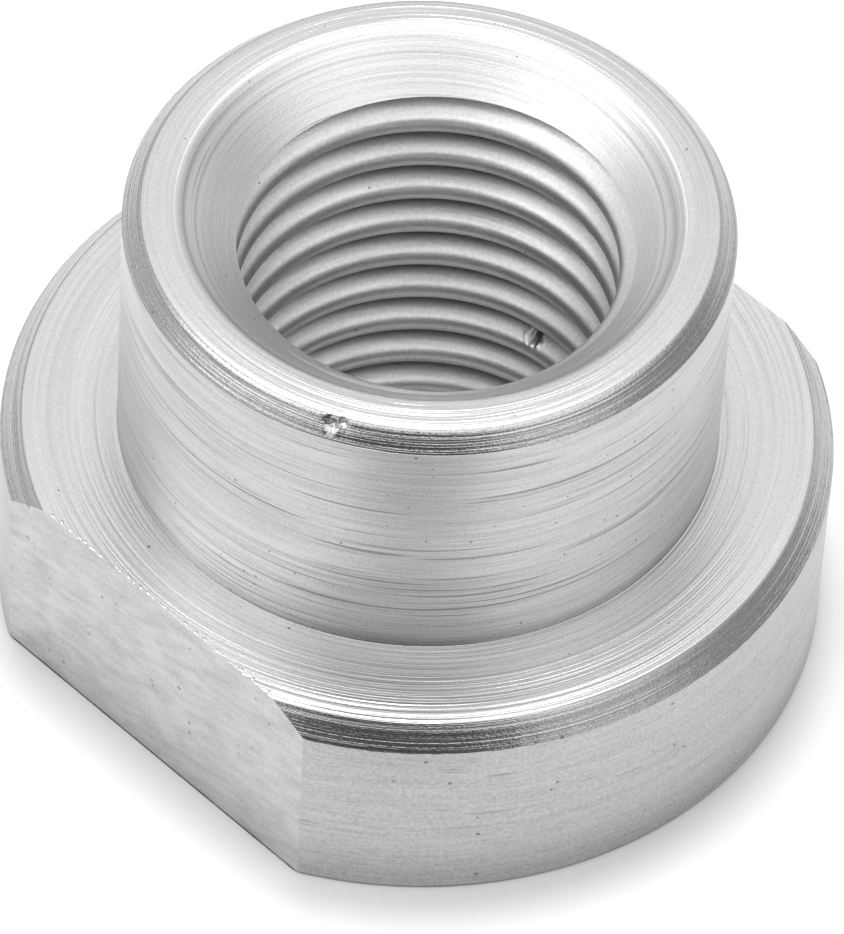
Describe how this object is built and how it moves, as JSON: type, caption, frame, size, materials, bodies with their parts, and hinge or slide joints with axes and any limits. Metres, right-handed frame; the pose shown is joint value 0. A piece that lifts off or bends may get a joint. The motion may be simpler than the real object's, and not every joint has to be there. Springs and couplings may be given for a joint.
{
  "type": "threaded nut",
  "caption": "Turned metal nut with a round barrel on a wider round flange, opposite wrench flats cut on the flange, and a through threaded bore that opens in a cone.",
  "frame": {"origin": "centre of the flange's bottom face, on the bore's axis", "axes": "+Z along the bore's axis towards the barrel's open end; the wrench flats face +Y and -Y, so the flange's full round width runs along X"},
  "size_m": [0.022, 0.019, 0.0141],
  "materials": {
    "plated_steel": "bright zinc-plated turned steel, satin, with fine turning rings"
  },
  "bodies": {
    "root": {"threaded_nut": "plated_steel"}
  },
  "joints": []
}
